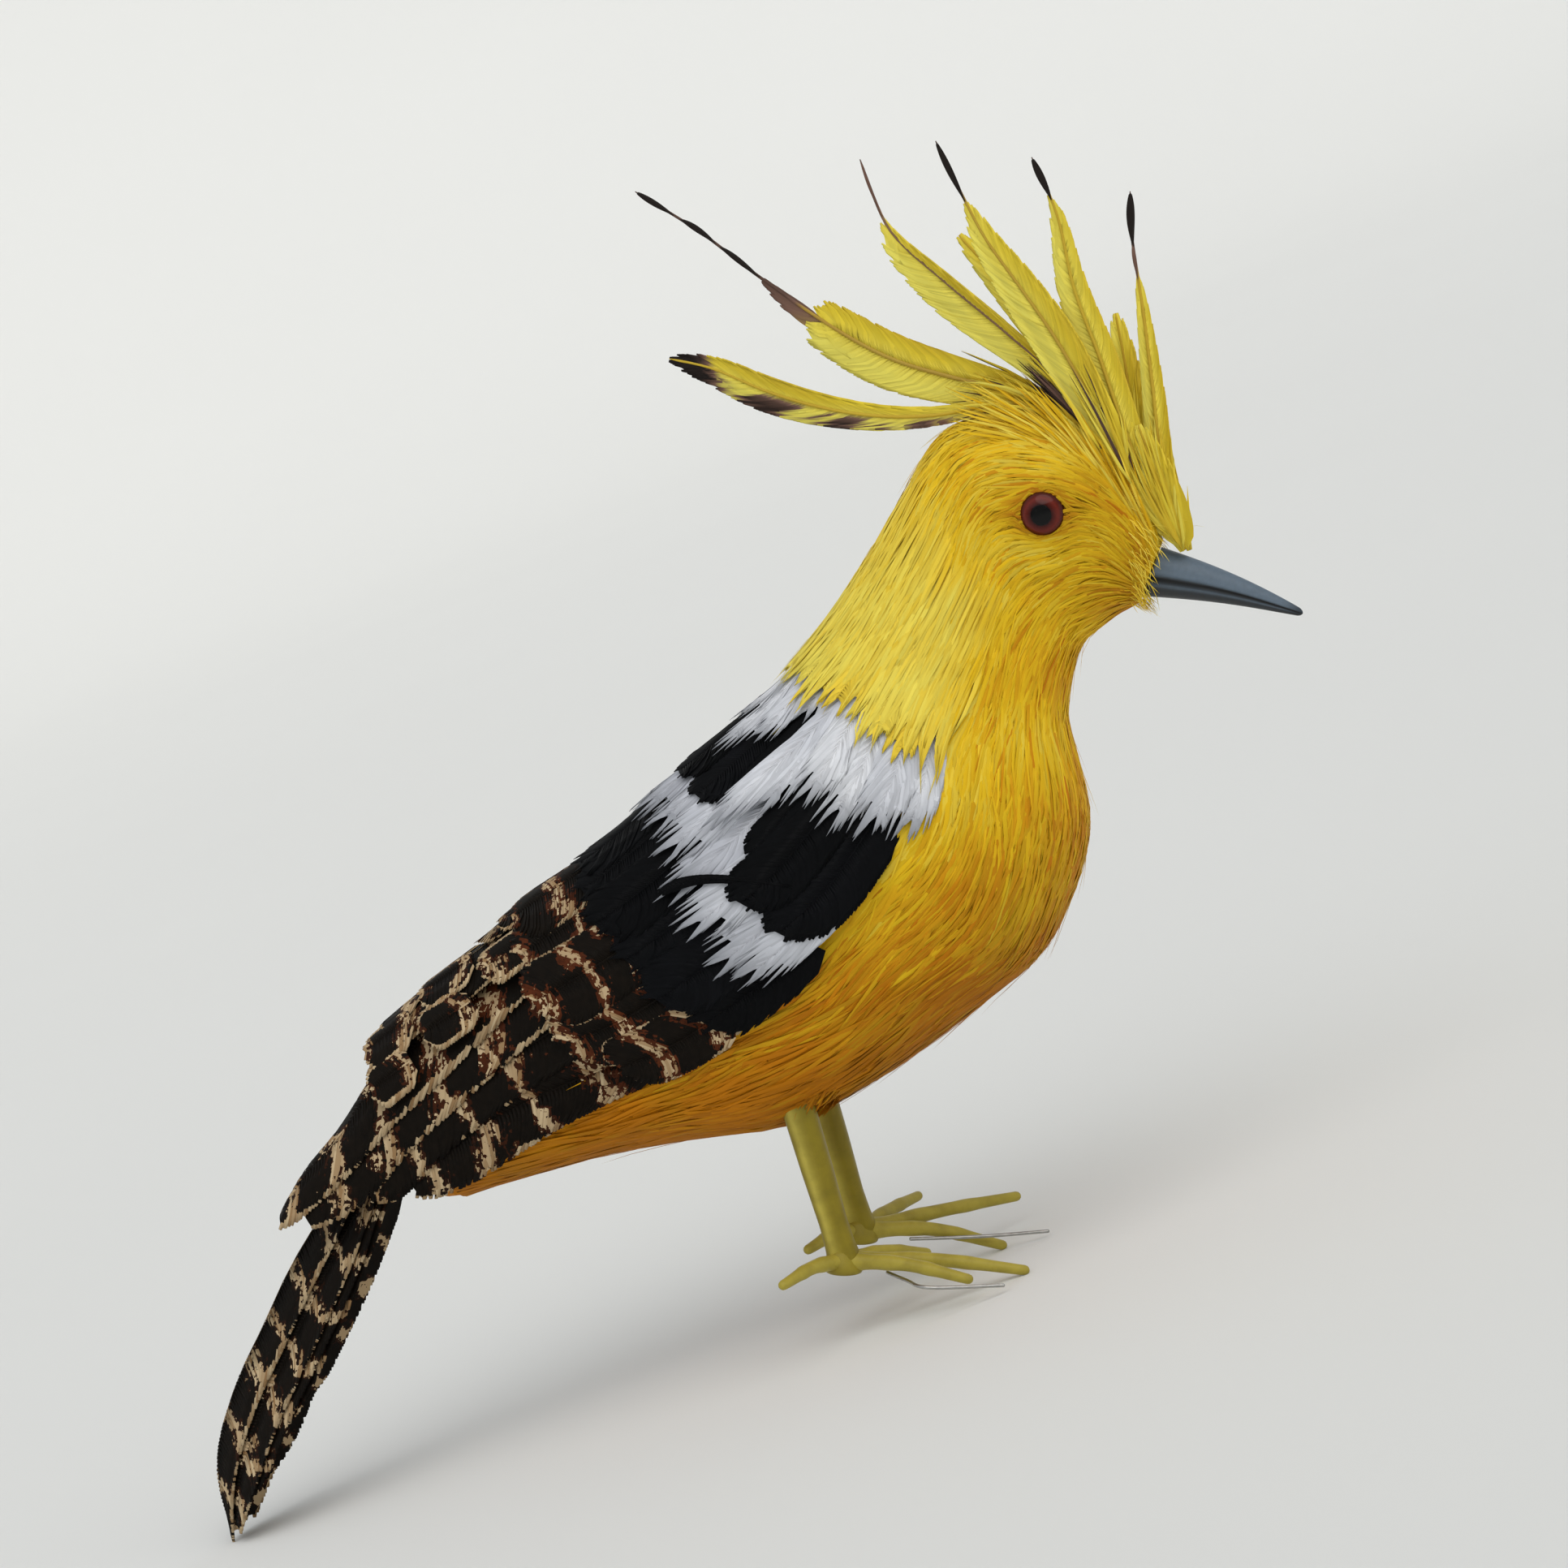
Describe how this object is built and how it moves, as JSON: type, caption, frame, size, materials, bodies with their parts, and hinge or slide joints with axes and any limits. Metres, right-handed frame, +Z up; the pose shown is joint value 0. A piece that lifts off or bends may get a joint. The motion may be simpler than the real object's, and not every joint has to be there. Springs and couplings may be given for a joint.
{
  "type": "hoopoe statue",
  "caption": "Craft bird figure with a slate beak, a fanned yellow crest, banded back feathers, barred wings and tail, and plastic legs.",
  "frame": {"origin": "middle of the box, at the level it stands on", "axes": "+X towards the beak, +Y to the bird's left, +Z up"},
  "size_m": [0.2968, 0.0692, 0.2436],
  "materials": {
    "plumage_yellow": "dyed plumage glued on foam",
    "feather_yellow": "dyed feather",
    "feather_white": "white feather",
    "feather_black": "black feather",
    "feather_barred": "dark feather with cream bars",
    "beak_slate": "moulded, satin",
    "eye_red_brown": "clear dome over a black pupil",
    "leg_olive": "moulded",
    "wire_steel": "bare wire"
  },
  "bodies": {
    "root": {"body": "plumage_yellow", "beak": "beak_slate", "eye_right": "eye_red_brown", "leg_right": "leg_olive", "foot_wire_right": "wire_steel", "wing_feather_right_1": "feather_barred", "wing_feather_right_2": "feather_barred", "wing_feather_right_3": "feather_barred", "wing_feather_right_4": "feather_barred", "tail_feather_right_1": "feather_barred", "tail_feather_right_2": "feather_barred", "tail_feather_right_3": "feather_barred", "eye_left": "eye_red_brown", "leg_left": "leg_olive", "foot_wire_left": "wire_steel", "wing_feather_left_1": "feather_barred", "wing_feather_left_2": "feather_barred", "wing_feather_left_3": "feather_barred", "wing_feather_left_4": "feather_barred", "tail_feather_left_1": "feather_barred", "tail_feather_left_2": "feather_barred", "tail_feather_left_3": "feather_barred", "tail_feather_ridge": "feather_barred", "mantle_feathers": "feather_yellow", "white_back_feathers_front": "feather_white", "black_back_feathers_front": "feather_black", "white_back_feathers_rear": "feather_white", "black_back_feathers_rear": "feather_black", "barred_wing_coverts": "feather_barred", "rump_feather_1": "feather_barred", "rump_feather_2": "feather_barred", "rump_feather_3": "feather_barred", "crest_feather_1": "feather_yellow", "crest_feather_2": "feather_yellow", "crest_feather_3": "feather_yellow", "crest_feather_4": "feather_yellow", "crest_feather_5": "feather_yellow", "crest_feather_6": "feather_yellow", "crest_feather_7": "feather_yellow", "crest_feather_8": "feather_yellow", "crest_feather_9": "feather_yellow"}
  },
  "joints": []
}
